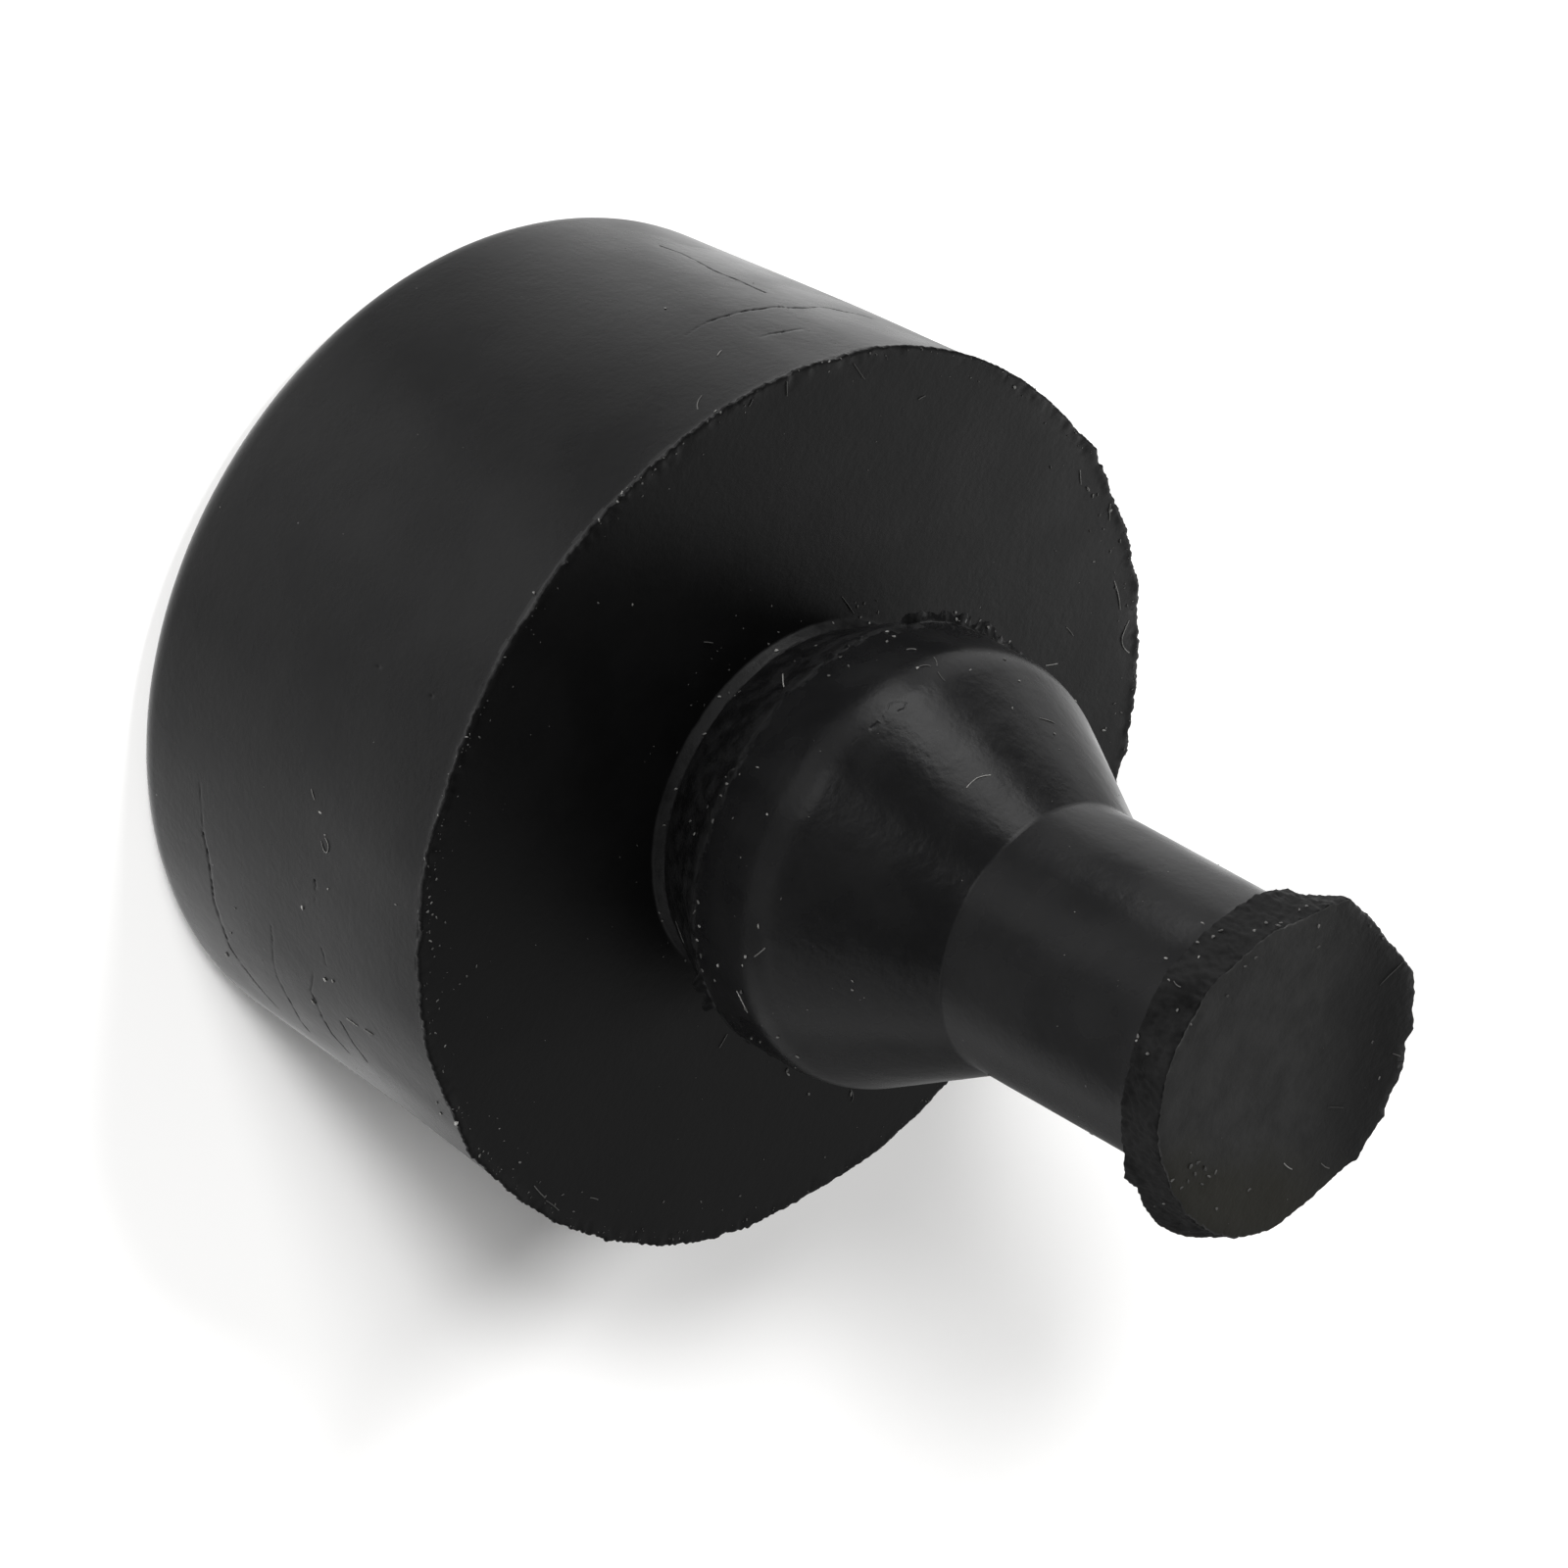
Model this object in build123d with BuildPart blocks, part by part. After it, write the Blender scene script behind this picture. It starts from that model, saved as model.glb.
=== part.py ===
from build123d import *
from math import cos, radians, sin, tan
import os

os.makedirs("parts", exist_ok=True)

# Rubber buffer, moulded in one piece: a drafted head that takes the blow, a neck that the
# panel's hole closes on, a barb that snaps through it and a tail to pull it in by.
# Millimetres, +Z up. It stands on its striking face, and the origin is the middle of that face.

# Head
seat_diameter = 20.0
head_length = 10.3
head_draft = 1.95  # degrees, narrowing towards the striking face
striking_round = 0.85

# Neck, from the seat up to where the barb starts to flare
neck_diameter = 8.0
neck_length = 0.55
root_round = 0.15

# Barb: a flare, the thin fin at the mould's joint, a short straight side and a cone
barb_step = 0.85  # how far the barb's side stands out past the neck
flare_length = 1.5
fin_height = 0.2
fin_width = 0.25
side_length = 1.7  # from the fin to where the cone's line meets the side
shoulder_round = 2.2
cone_length = 3.45

# Tail, and the disc of waste rubber that was trimmed by hand at its end
tail_diameter = 5.84
tail_length = 5.5
disc_thickness = 1.1
# How far the disc's rear and front edges stand out from the tail, at equal turns from +X
rear_overhang = [0.83, 0.98, 0.83, 0.83, 0.78, 0.74, 0.57, 0.46, 0.58, 0.58, 0.56, 0.58]
front_overhang = [0.47, 0.66, 0.62, 0.88, 0.82, 0.61, 0.44, 0.40, 0.55, 0.62, 0.59, 0.43]

# Radii
seat_radius = seat_diameter / 2
striking_radius = seat_radius - head_length * tan(radians(head_draft))
neck_radius = neck_diameter / 2
side_radius = neck_radius + barb_step
fin_radius = side_radius + fin_height
tail_radius = tail_diameter / 2

# Heights above the striking face
flare_start = head_length + neck_length
fin_start = flare_start + flare_length
side_start = fin_start + fin_width
shoulder_height = side_start + side_length
tail_start = shoulder_height + cone_length
disc_start = tail_start + tail_length
disc_end = disc_start + disc_thickness
disc_middle = (disc_start + disc_end) / 2


# The points of one of the disc's edges, evenly turned about the axis
def disc_edge(overhangs):
    turn = radians(360 / len(overhangs))
    reaches = [tail_radius + overhang for overhang in overhangs]
    return [
        (reach * cos(turn * step), reach * sin(turn * step))
        for step, reach in enumerate(reaches)
    ]


with BuildPart() as rubber_buffer:
    # Everything turned about the axis, up into the middle of the disc
    with BuildSketch(Plane.XZ):
        with BuildLine():
            Polyline(
                (0, 0),
                (striking_radius, 0),
                (seat_radius, head_length),
                (neck_radius, head_length),
                (neck_radius, flare_start),
                (side_radius, fin_start),
                (fin_radius, fin_start),
                (fin_radius, side_start),
                (side_radius, side_start),
                (side_radius, shoulder_height),
                (tail_radius, tail_start),
                (tail_radius, disc_middle),
                (0, disc_middle),
                close=True,
            )
        make_face()
    revolve(axis=Axis.Z)

    # Rounded striking edge, barb shoulder and root of the neck, each at its own height
    rings = rubber_buffer.edges().filter_by(GeomType.CIRCLE)
    fillet(rings.filter_by_position(Axis.Z, 0, 0), striking_round)
    rings = rubber_buffer.edges().filter_by(GeomType.CIRCLE)
    fillet(rings.filter_by_position(Axis.Z, shoulder_height, shoulder_height), shoulder_round)
    rings = rubber_buffer.edges().filter_by(GeomType.CIRCLE)
    seat_rings = rings.filter_by_position(Axis.Z, head_length, head_length)
    fillet(seat_rings.sort_by(SortBy.RADIUS)[0], root_round)

    # The disc, between its rear and front edges
    with BuildSketch(Plane.XY.offset(disc_start)):
        with BuildLine():
            Spline(*disc_edge(rear_overhang), periodic=True)
        make_face()
    with BuildSketch(Plane.XY.offset(disc_end)):
        with BuildLine():
            Spline(*disc_edge(front_overhang), periodic=True)
        make_face()
    loft()

rubber_buffer.part.label = "rubber_buffer"
export_step(rubber_buffer.part, "parts/rubber_buffer.step")
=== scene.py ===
import bpy
import math
import random
from mathutils import Matrix, Vector, kdtree, noise


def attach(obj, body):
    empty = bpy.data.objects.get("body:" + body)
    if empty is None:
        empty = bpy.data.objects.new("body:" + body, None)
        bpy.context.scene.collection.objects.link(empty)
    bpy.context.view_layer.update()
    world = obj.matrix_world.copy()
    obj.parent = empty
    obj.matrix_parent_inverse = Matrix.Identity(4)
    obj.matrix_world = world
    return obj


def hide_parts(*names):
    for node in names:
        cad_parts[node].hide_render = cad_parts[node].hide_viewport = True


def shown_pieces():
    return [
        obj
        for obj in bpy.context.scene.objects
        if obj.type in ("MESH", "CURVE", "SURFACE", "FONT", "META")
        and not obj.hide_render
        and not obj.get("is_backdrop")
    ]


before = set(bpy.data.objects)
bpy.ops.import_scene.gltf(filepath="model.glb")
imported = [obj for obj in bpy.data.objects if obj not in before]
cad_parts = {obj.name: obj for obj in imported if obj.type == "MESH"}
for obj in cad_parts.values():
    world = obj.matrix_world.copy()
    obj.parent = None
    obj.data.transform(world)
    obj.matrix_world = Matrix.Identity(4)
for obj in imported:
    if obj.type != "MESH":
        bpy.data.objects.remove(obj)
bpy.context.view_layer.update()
print("frame loaded")

mm = 0.001
pixels = 1600  # the photograph's width and height
pixelsPerMm = 48.8  # about, on the part
anyTurn = 6.28  # radians, for random directions


def startClean():
    # a new primitive is shaped alone, so nothing else may stay selected
    if bpy.context.object and bpy.context.object.mode != "OBJECT":
        bpy.ops.object.mode_set(mode="OBJECT")
    bpy.ops.object.select_all(action="DESELECT")


# The camera, 120 mm from the middle of the seat and rolled as the photograph is
photoView = {
    "place": (0.0, -0.0921084, 0.0872158),
    "turn": (-29.97761, -41.99322, 130.86844),  # degrees
    "lens": 131.74,
    "sensor": 36.0,
}


def placeCamera(view):
    startClean()
    turn = [math.radians(angle) for angle in view["turn"]]
    bpy.ops.object.camera_add(location=view["place"], rotation=turn)
    camera = bpy.context.object
    camera.name = "photoCamera"
    camera.data.lens = view["lens"]
    camera.data.sensor_width = view["sensor"]
    camera.data.clip_start = 0.005
    camera.data.clip_end = 10
    bpy.context.scene.camera = camera
    bpy.context.view_layer.update()
    return camera


camera = placeCamera(photoView)
print("camera placed")


# Shader helpers
def newMaterial(name):
    material = bpy.data.materials.new(name)
    material.use_nodes = True
    nodes = material.node_tree.nodes
    nodes.clear()
    output = nodes.new("ShaderNodeOutputMaterial")
    shader = nodes.new("ShaderNodeBsdfPrincipled")
    material.node_tree.links.new(shader.outputs["BSDF"], output.inputs["Surface"])
    return material, material.node_tree, shader


def addNode(tree, kind, **settings):
    node = tree.nodes.new(kind)
    for name, value in settings.items():
        setattr(node, name, value)
    return node


def newGroup(name, inputs, outputs):
    group = bpy.data.node_groups.new(name, "ShaderNodeTree")
    for socketName, kind, value in inputs:
        socket = group.interface.new_socket(socketName, in_out="INPUT", socket_type=kind)
        socket.default_value = value
    for socketName, kind in outputs:
        group.interface.new_socket(socketName, in_out="OUTPUT", socket_type=kind)
    return group, group.nodes.new("NodeGroupInput"), group.nodes.new("NodeGroupOutput")


def placeGroup(tree, group, **values):
    node = tree.nodes.new("ShaderNodeGroup")
    node.node_tree = group
    for name, value in values.items():
        node.inputs[name].default_value = value
    return node


def noiseNode(tree, vector, scale, detail=2.0, roughness=0.5, distortion=0.0):
    node = tree.nodes.new("ShaderNodeTexNoise")
    node.inputs["Detail"].default_value = detail
    node.inputs["Roughness"].default_value = roughness
    node.inputs["Distortion"].default_value = distortion
    if isinstance(scale, (int, float)):
        node.inputs["Scale"].default_value = scale
    else:
        tree.links.new(scale, node.inputs["Scale"])
    tree.links.new(vector, node.inputs["Vector"])
    return node.outputs["Fac"]


def mathNode(tree, operation, first, second=None, clamp=False):
    node = tree.nodes.new("ShaderNodeMath")
    node.operation = operation
    node.use_clamp = clamp
    for socket, value in zip(node.inputs, (first, second)):
        if value is None:
            continue
        if isinstance(value, (int, float)):
            socket.default_value = value
        else:
            tree.links.new(value, socket)
    return node.outputs[0]


def rangeNode(tree, value, low, high, toLow=0.0, toHigh=1.0):
    node = tree.nodes.new("ShaderNodeMapRange")
    node.interpolation_type = "SMOOTHSTEP"
    for name, number in (("From Min", low), ("From Max", high), ("To Min", toLow), ("To Max", toHigh)):
        if isinstance(number, (int, float)):
            node.inputs[name].default_value = number
        else:
            tree.links.new(number, node.inputs[name])
    tree.links.new(value, node.inputs["Value"])
    return node.outputs["Result"]


def mixColours(tree, amount, first, second):
    node = tree.nodes.new("ShaderNodeMix")
    node.data_type = "RGBA"
    tree.links.new(amount, node.inputs["Factor"])
    for socket, value in ((node.inputs[6], first), (node.inputs[7], second)):
        if isinstance(value, tuple):
            socket.default_value = value + (1.0,)
        else:
            tree.links.new(value, socket)
    return node.outputs[2]


def addBump(tree, shader, height, strength, distance):
    bump = addNode(tree, "ShaderNodeBump")
    bump.inputs["Strength"].default_value = strength
    bump.inputs["Distance"].default_value = distance
    tree.links.new(height, bump.inputs["Height"])
    tree.links.new(bump.outputs["Normal"], shader.inputs["Normal"])


# Grain of moulded rubber: a fine tooth on a slow swell, soft clouds of bloom and pale dust
def rubberGrainGroup():
    group, inward, outward = newGroup(
        "rubberGrain",
        [
            ("Grain Scale", "NodeSocketFloat", 9000.0),
            ("Swell Scale", "NodeSocketFloat", 2200.0),
            ("Swell Share", "NodeSocketFloat", 1.0),
            ("Cloud Scale", "NodeSocketFloat", 350.0),
            ("Dust Scale", "NodeSocketFloat", 2600.0),
            ("Dust Share", "NodeSocketFloat", 0.1),
        ],
        [("Height", "NodeSocketFloat"), ("Cloud", "NodeSocketFloat"), ("Dust", "NodeSocketFloat")],
    )
    place = group.nodes.new("ShaderNodeTexCoord").outputs["Object"]
    fine = noiseNode(group, place, inward.outputs["Grain Scale"], detail=3.0, roughness=0.6)
    swell = noiseNode(group, place, inward.outputs["Swell Scale"], detail=2.0, roughness=0.5)
    swell = mathNode(group, "MULTIPLY", swell, inward.outputs["Swell Share"])
    cloud = noiseNode(group, place, inward.outputs["Cloud Scale"], detail=4.0, roughness=0.55)
    cells = addNode(group, "ShaderNodeTexVoronoi")
    group.links.new(place, cells.inputs["Vector"])
    group.links.new(inward.outputs["Dust Scale"], cells.inputs["Scale"])
    chosen = mathNode(group, "LESS_THAN", cells.outputs["Color"], inward.outputs["Dust Share"])
    near = rangeNode(group, cells.outputs["Distance"], 0.12, 0.3, 1.0, 0.0)
    group.links.new(mathNode(group, "ADD", fine, swell), outward.inputs["Height"])
    group.links.new(rangeNode(group, cloud, 0.3, 0.7), outward.inputs["Cloud"])
    group.links.new(mathNode(group, "MULTIPLY", chosen, near), outward.inputs["Dust"])
    return group


rubberGrain = rubberGrainGroup()


grainDepth = 0.00004  # metres

# Black rubber in its finishes, from the smooth mould wall to the hand-trimmed end; the bead's and the
# lip's are paler for painted highlights
rubberLooks = {
    "headRubber": {
        "dark": (0.0052, 0.0052, 0.0055),
        "light": (0.0085, 0.0085, 0.0088),
        "dust": (0.12, 0.12, 0.122),
        "grainScale": 7000.0,
        "swellScale": 1800.0,
        "swellShare": 1.2,
        "cloudScale": 420.0,
        "dustScale": 9000.0,
        "dustShare": 0.03,
        "smooth": 0.25,
        "dull": 0.31,
        "shine": 0.135,
        "bump": 0.14,
    },
    "barbRubber": {
        "dark": (0.0085, 0.0085, 0.009),
        "light": (0.0135, 0.0135, 0.014),
        "dust": (0.09, 0.09, 0.092),
        "grainScale": 7500.0,
        "swellScale": 2300.0,
        "swellShare": 2.2,
        "cloudScale": 620.0,
        "dustScale": 9000.0,
        "dustShare": 0.03,
        "smooth": 0.24,
        "dull": 0.31,
        "shine": 0.14,
        "bump": 0.12,
    },
    "seatRubber": {
        "dark": (0.004, 0.004, 0.0042),
        "light": (0.007, 0.007, 0.0073),
        "dust": (0.06, 0.06, 0.06),
        "grainScale": 5200.0,
        "swellScale": 1500.0,
        "swellShare": 0.5,
        "cloudScale": 600.0,
        "dustScale": 2800.0,
        "dustShare": 0.04,
        "smooth": 0.5,
        "dull": 0.54,
        "shine": 0.3,
        "bump": 0.16,
    },
    "tornRubber": {
        "dark": (0.007, 0.007, 0.0073),
        "light": (0.0145, 0.0145, 0.015),
        "dust": (0.1, 0.1, 0.1),
        "grainScale": 6500.0,
        "swellScale": 3000.0,
        "swellShare": 0.8,
        "cloudScale": 2400.0,
        "dustScale": 5200.0,
        "dustShare": 0.04,
        "smooth": 0.42,
        "dull": 0.7,
        "shine": 0.16,
        "bump": 0.5,
    },
    "trimmedRubber": {
        "dark": (0.052, 0.052, 0.0514),
        "light": (0.082, 0.082, 0.081),
        "dust": (0.12, 0.12, 0.12),
        "grainScale": 5200.0,
        "swellScale": 1400.0,
        "swellShare": 0.8,
        "cloudScale": 1600.0,
        "dustScale": 4200.0,
        "dustShare": 0.06,
        "smooth": 0.5,
        "dull": 0.56,
        "shine": 0.24,
        "bump": 0.45,
        # an olive bloom on one side of the cut face and painted shade on another, as
        # (direction in degrees, colour, where it starts and where it is full in mm)
        "bloomAndPaintedShade": [
            (15.0, (0.055, 0.0532, 0.0425), 1.9, 3.2),
            # painted shade: the cut face is darker towards 125 degrees
            (125.0, (0.0165, 0.0165, 0.0167), 0.7, 3.7),
        ],
        "bloomAndShadeWander": 1.2,  # mm
        "bloomAndShadeCloud": 900.0,
    },
    "discRubber": {
        "dark": (0.004, 0.004, 0.0041),
        "light": (0.0175, 0.0175, 0.0177),
        "dust": (0.1, 0.1, 0.1),
        "grainScale": 6500.0,
        "swellScale": 2600.0,
        "swellShare": 1.0,
        "cloudScale": 1500.0,
        "dustScale": 7000.0,
        "dustShare": 0.04,
        "smooth": 0.5,
        "dull": 0.75,
        "shine": 0.1,
        "bump": 0.6,
    },
    # the cut face's rounded lip is paler, a painted highlight along its edge
    "lipPaintedHighlight": {
        "dark": (0.05, 0.05, 0.0495),
        "light": (0.1, 0.1, 0.0985),
        "dust": (0.25, 0.25, 0.25),
        "grainScale": 7000.0,
        "swellScale": 2600.0,
        "swellShare": 0.6,
        "cloudScale": 1800.0,
        "dustScale": 7000.0,
        "dustShare": 0.06,
        "smooth": 0.5,
        "dull": 0.7,
        "shine": 0.2,
        "bump": 0.4,
    },
    # the bead is paler to paint the light band that it catches, a painted highlight
    "beadPaintedHighlight": {
        "dark": (0.007, 0.007, 0.0073),
        "light": (0.026, 0.026, 0.0265),
        "dust": (0.2, 0.2, 0.2),
        "grainScale": 9000.0,
        "swellScale": 2600.0,
        "swellShare": 0.6,
        "cloudScale": 1500.0,
        "dustScale": 9000.0,
        "dustShare": 0.08,
        "smooth": 0.42,
        "dull": 0.55,
        "shine": 0.2,
        "bump": 0.25,
    },
}


def faceBloomAndPaintedShade(tree, colour, look):
    # the trimmed face's olive bloom and its painted shade, placed by their direction from the middle
    place = addNode(tree, "ShaderNodeTexCoord").outputs["Object"]
    cloud = noiseNode(tree, place, look["bloomAndShadeCloud"], detail=3.0)
    wander = mathNode(tree, "MULTIPLY", cloud, look["bloomAndShadeWander"] * mm)
    for direction, tint, start, full in look["bloomAndPaintedShade"]:
        turn = math.radians(direction)
        along = addNode(tree, "ShaderNodeVectorMath", operation="DOT_PRODUCT")
        along.inputs[1].default_value = (math.cos(turn), math.sin(turn), 0)
        tree.links.new(place, along.inputs[0])
        ragged = mathNode(tree, "ADD", along.outputs["Value"], wander)
        amount = rangeNode(tree, ragged, start * mm, full * mm)
        colour = mixColours(tree, amount, colour, tint)
    return colour


def rubberMaterial(name):
    look = rubberLooks[name]
    material, tree, shader = newMaterial(name)
    grain = placeGroup(
        tree,
        rubberGrain,
        **{
            "Grain Scale": look["grainScale"],
            "Swell Scale": look["swellScale"],
            "Swell Share": look["swellShare"],
            "Cloud Scale": look["cloudScale"],
            "Dust Scale": look["dustScale"],
            "Dust Share": look["dustShare"],
        },
    )
    colour = mixColours(tree, grain.outputs["Cloud"], look["dark"], look["light"])
    # the trimmed face's olive bloom and painted shade
    if "bloomAndPaintedShade" in look:
        colour = faceBloomAndPaintedShade(tree, colour, look)
    colour = mixColours(tree, grain.outputs["Dust"], colour, look["dust"])
    tree.links.new(colour, shader.inputs["Base Color"])
    gloss = rangeNode(tree, grain.outputs["Cloud"], 0.0, 1.0, look["smooth"], look["dull"])
    tree.links.new(gloss, shader.inputs["Roughness"])
    shader.inputs["Specular IOR Level"].default_value = look["shine"]
    addBump(tree, shader, grain.outputs["Height"], look["bump"], grainDepth)
    return material


materialOrder = [
    "headRubber", "seatRubber", "tornRubber", "trimmedRubber", "barbRubber", "beadPaintedHighlight",
    "discRubber", "lipPaintedHighlight",
]
rubberMaterials = [rubberMaterial(name) for name in materialOrder]
print("rubber mixed")


# The buffer's own shape, in millimetres above the striking face
bufferShape = {
    "turns": 192,  # points round each ring, before the torn edges are refined
    "strikingRadius": 9.65,
    "strikingRound": 0.85,
    "headLength": 10.3,
    "seatRadius": 10.0,
    "neckRadius": 4.0,
    "flareStart": 10.56,
    "finMiddle": 12.475,
    "sideRadius": 4.85,
    "finRadius": 5.05,
    "shoulderHeight": 14.3,
    "shoulderRound": 1.9,
    "tailStart": 17.75,
    "tailFoot": 2.95,
    "tailRadius": 2.91,
    "discStart": 23.25,
    "discEnd": 24.35,
    "discRadius": 3.5,  # as drawn, before it gets its two outlines
    "discFoot": 3.0,
    # how many rings each part of the shape has
    "steps": {
        "strikingFace": 4, "corner": 9, "wall": 16, "seat": 9, "bead": 4, "flare": 18, "side": 6,
        "shoulder": 10, "cone": 9, "tail": 9, "discSide": 21, "trimmedFace": 13,
    },
    "firstRing": 0.4,
    "cornerGap": 0.3,  # from the striking face's last flat ring to its rounded edge
    # rings as (radius, rise): up to the seat's height, then across the rim to the seat
    "wallTop": (9.988, -0.32),
    "rimRings": [
        (9.992, -0.24), (9.996, -0.18), (10.0, -0.13), (10.02, -0.105), (10.035, -0.075),
        (10.04, -0.045), (10.035, -0.015), (10.0, 0.005), (9.95, 0.008), (9.88, 0.004),
        (9.78, 0), (9.6, 0), (9.35, 0),
    ],
    "seatEnd": 0.4,  # past the neck
    # the bead, as (reach past the neck, rise above the seat)
    "beadFoot": [(0.16, 0), (0.09, 0), (0.065, 0.004), (0.05, 0.02)],
    "beadTop": [(-0.035, 0.22), (-0.045, 0.24)],
    "flareFoot": -0.055,
    # half of the fin at the barb's mould joint, as (reach past the barb's side, half thickness)
    "finStart": (-0.03, 0.13),
    "finFoot": [(0.01, 0.075), (0.07, 0.045)],
    # and its outer part, as (reach past the fin's edge, half thickness)
    "finTip": [(-0.06, 0.03), (0, 0.012)],
    "tailFootGap": 0.06,  # between the tail's foot and the rings beside it
    "tailTopGap": 0.08,
    "discUnder": [(2.93, -0.03), (3.0, 0), (3.2, 0), (3.38, 0)],
    "discGaps": (0.01, 0.055),  # from the rear and the trimmed face to the side's rings
    "discLip": [(3.487, -0.015), (3.455, 0)],
    "lastRing": 0.35,
}


def roundCorner(middle, radius, start, end, steps):
    # ring sizes round a corner, angles in degrees from outwards
    points = []
    for step in range(steps + 1):
        turn = math.radians(start + (end - start) * step / steps)
        points.append((middle[0] + radius * math.cos(turn), middle[1] + radius * math.sin(turn)))
    return points


def straightRun(start, end, steps):
    # ring sizes between two rings, without the first
    return [
        (start[0] + (end[0] - start[0]) * step / steps, start[1] + (end[1] - start[1]) * step / steps)
        for step in range(1, steps + 1)
    ]


def bufferRings(shape):
    steps = shape["steps"]
    draft = math.atan((shape["seatRadius"] - shape["strikingRadius"]) / shape["headLength"])
    corner = shape["strikingRound"]
    roundMiddle = shape["strikingRadius"] - corner * (1 - math.sin(draft)) / math.cos(draft)
    seat = shape["headLength"]
    rings = [(shape["firstRing"], 0.0)]
    rings += straightRun(rings[0], (roundMiddle - shape["cornerGap"], 0.0), steps["strikingFace"])
    rings += roundCorner((roundMiddle, corner), corner, -90, -math.degrees(draft), steps["corner"])
    wallRadius, wallDrop = shape["wallTop"]
    rings += straightRun(rings[-1], (wallRadius, seat + wallDrop), steps["wall"])
    # the rim, where the mould's two halves meet and leave a thin torn fin
    rings += [(radius, seat + rise) for radius, rise in shape["rimRings"]]
    # the seat and the smooth bead round the foot of the neck
    neck = shape["neckRadius"]
    rings += straightRun(rings[-1], (neck + shape["seatEnd"], seat), steps["seat"])
    rings += [(neck + reach, seat + rise) for reach, rise in shape["beadFoot"]]
    beadTop = [(neck + reach, seat + rise) for reach, rise in shape["beadTop"]]
    rings += straightRun(rings[-1], beadTop[0], steps["bead"]) + beadTop[1:]
    rings += [(neck + shape["flareFoot"], shape["flareStart"])]
    # the torn flare and the fin at the barb's mould joint, the same below and above
    side = shape["sideRadius"]
    middle = shape["finMiddle"]
    flareReach, half = shape["finStart"]
    fin = [(side + reach, half) for reach, half in shape["finFoot"]]
    fin += [(shape["finRadius"] + reach, half) for reach, half in shape["finTip"]]
    rings += straightRun(rings[-1], (side + flareReach, middle - half), steps["flare"])
    rings += [(radius, middle - part) for radius, part in fin]
    rings += [(radius, middle + part) for radius, part in reversed(fin)]
    rings += [(side, middle + half)]
    # the barb's side, shoulder and cone
    slope = math.atan((side - shape["tailFoot"]) / (shape["tailStart"] - shape["shoulderHeight"]))
    reach = shape["shoulderRound"] * math.tan(slope / 2)
    shoulder = (side - shape["shoulderRound"], shape["shoulderHeight"] - reach)
    rings += straightRun(rings[-1], (side, shoulder[1]), steps["side"])
    turn = math.degrees(slope)
    rings += roundCorner(shoulder, shape["shoulderRound"], 0, turn, steps["shoulder"])[1:]
    foot, gap = (shape["tailFoot"], shape["tailStart"]), shape["tailFootGap"]
    nearFoot = (foot[0] + gap * math.sin(slope), foot[1] - gap * math.cos(slope))
    rings += straightRun(rings[-1], nearFoot, steps["cone"]) + [foot]
    # the tail
    rings += [(foot[0] - 0.001, foot[1] + gap)]
    tailTop = (shape["tailRadius"], shape["discStart"] - shape["tailTopGap"])
    rings += straightRun(rings[-1], tailTop, steps["tail"])
    # the disc of waste rubber, rear face, side and trimmed face
    low, high, drawn = shape["discStart"], shape["discEnd"], shape["discRadius"]
    lowGap, highGap = shape["discGaps"]
    rings += [(radius, low + rise) for radius, rise in shape["discUnder"]]
    rings += straightRun((drawn, low + lowGap), (drawn, high - highGap), steps["discSide"])
    rings += [(radius, high + rise) for radius, rise in shape["discLip"]]
    rings += straightRun(rings[-1], (shape["lastRing"], high), steps["trimmedFace"])
    return rings


def drawRings(name, rings, turns):
    # a circle is drawn out ring by ring, and both ends are closed
    startClean()
    bpy.ops.mesh.primitive_circle_add(vertices=turns, radius=rings[0][0] * mm, location=(0, 0, 0))
    piece = bpy.context.object
    piece.name = name
    bpy.ops.object.mode_set(mode="EDIT")
    bpy.ops.mesh.select_mode(type="EDGE")
    bpy.ops.mesh.select_all(action="SELECT")
    bpy.ops.transform.translate(value=(0, 0, rings[0][1] * mm))
    for before, after in zip(rings, rings[1:]):
        rise = (after[1] - before[1]) * mm
        bpy.ops.mesh.extrude_region_move(TRANSFORM_OT_translate={"value": (0, 0, rise)})
        grow = after[0] / before[0]
        bpy.ops.transform.resize(value=(grow, grow, 1), center_override=(0, 0, after[1] * mm))
    bpy.ops.mesh.edge_face_add()
    bpy.ops.mesh.poke()
    bpy.ops.mesh.select_all(action="DESELECT")
    bpy.ops.mesh.select_non_manifold()
    bpy.ops.mesh.edge_face_add()
    bpy.ops.mesh.poke()
    bpy.ops.mesh.select_all(action="SELECT")
    bpy.ops.mesh.normals_make_consistent(inside=False)
    bpy.ops.object.mode_set(mode="OBJECT")
    return piece


def divideChosen(piece, kind, chooser, cuts):
    # the edges or faces that the chooser picks are divided
    startClean()
    bpy.context.view_layer.objects.active = piece
    piece.select_set(True)
    bpy.ops.object.mode_set(mode="EDIT")
    bpy.ops.mesh.select_mode(type=kind)
    bpy.ops.mesh.select_all(action="DESELECT")
    bpy.ops.object.mode_set(mode="OBJECT")
    for part in piece.data.edges if kind == "EDGE" else piece.data.polygons:
        part.select = chooser(part)
    bpy.ops.object.mode_set(mode="EDIT")
    bpy.ops.mesh.subdivide(number_cuts=cuts, smoothness=0)
    bpy.ops.object.mode_set(mode="OBJECT")


def refineRings(piece, cuts, low, high, inside, outside):
    # the ring edges between two heights and two radii are cut finer for the torn forms
    points = piece.data.vertices

    def inBand(edge):
        one, two = (points[index].co for index in edge.vertices)
        radius = math.hypot(one.x, one.y) / mm
        level = abs(one.z - two.z) < 1e-7 and abs(math.hypot(two.x, two.y) / mm - radius) < 1e-3
        return level and low < one.z / mm < high and inside < radius < outside

    divideChosen(piece, "EDGE", inBand, cuts)


bufferBody = drawRings("moulded_buffer", bufferRings(bufferShape), bufferShape["turns"])
print("buffer drawn,", len(bufferBody.data.polygons), "faces")


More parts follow.
